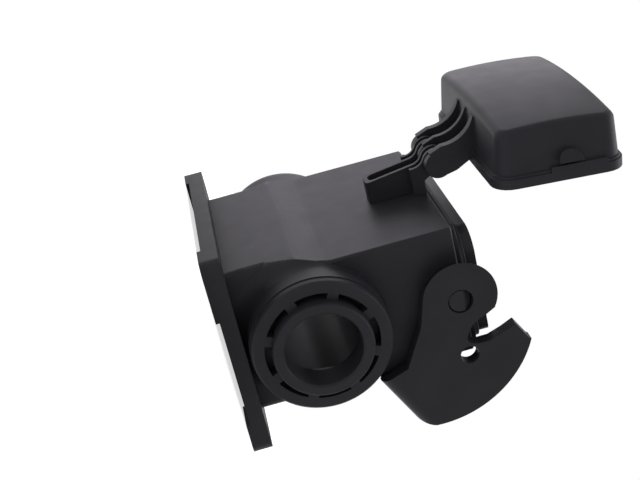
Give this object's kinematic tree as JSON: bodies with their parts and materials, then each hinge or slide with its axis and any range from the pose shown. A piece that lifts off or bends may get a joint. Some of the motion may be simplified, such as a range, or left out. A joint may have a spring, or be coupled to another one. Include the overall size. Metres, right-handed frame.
{
  "type": "surface mounting industrial connector housing with locking lever and hinged cover",
  "caption": "Rectangular connector base housing on a flange, with round cable entries on its short sides, a swinging locking lever and a hinged protective cover.",
  "frame": {"origin": "middle of the four fixing holes, on the mounting plane under the corner feet", "axes": "+Z away from the mounting plane, the way the plug leaves; X along the long side, through both cable entries; +Y towards the cover's hinge"},
  "size_m": [0.1, 0.0917, 0.1348],
  "materials": {
    "housing_plastic": "fine matt glass-filled polyamide",
    "seal_rubber": "matt rubber",
    "bush_brass": "turned brass",
    "lever_plastic": "fine matt polyamide",
    "hinge_plastic": "satin polyamide",
    "pin_steel": "drawn steel",
    "cover_plastic": "fine matt polyamide"
  },
  "bodies": {
    "base": {"housing": "housing_plastic", "mouth_seal": "seal_rubber", "thread_bushes": "bush_brass", "hinge_bracket": "hinge_plastic", "hinge_pin": "pin_steel"},
    "lever": {"locking_lever": "lever_plastic"},
    "lid": {"cover": "cover_plastic"}
  },
  "joints": [
    {"name": "lever_swing", "type": "hinge", "parent": "base", "child": "lever", "pos_m": [0, 0.00055, 0.0745], "axis": [-1, 0, 0], "range_deg": [0, 60]},
    {"name": "cover_swing", "type": "hinge", "parent": "base", "child": "lid", "pos_m": [0, 0.033, 0.0817], "axis": [1, 0, 0], "range_deg": [-35, 85.1]}
  ]
}
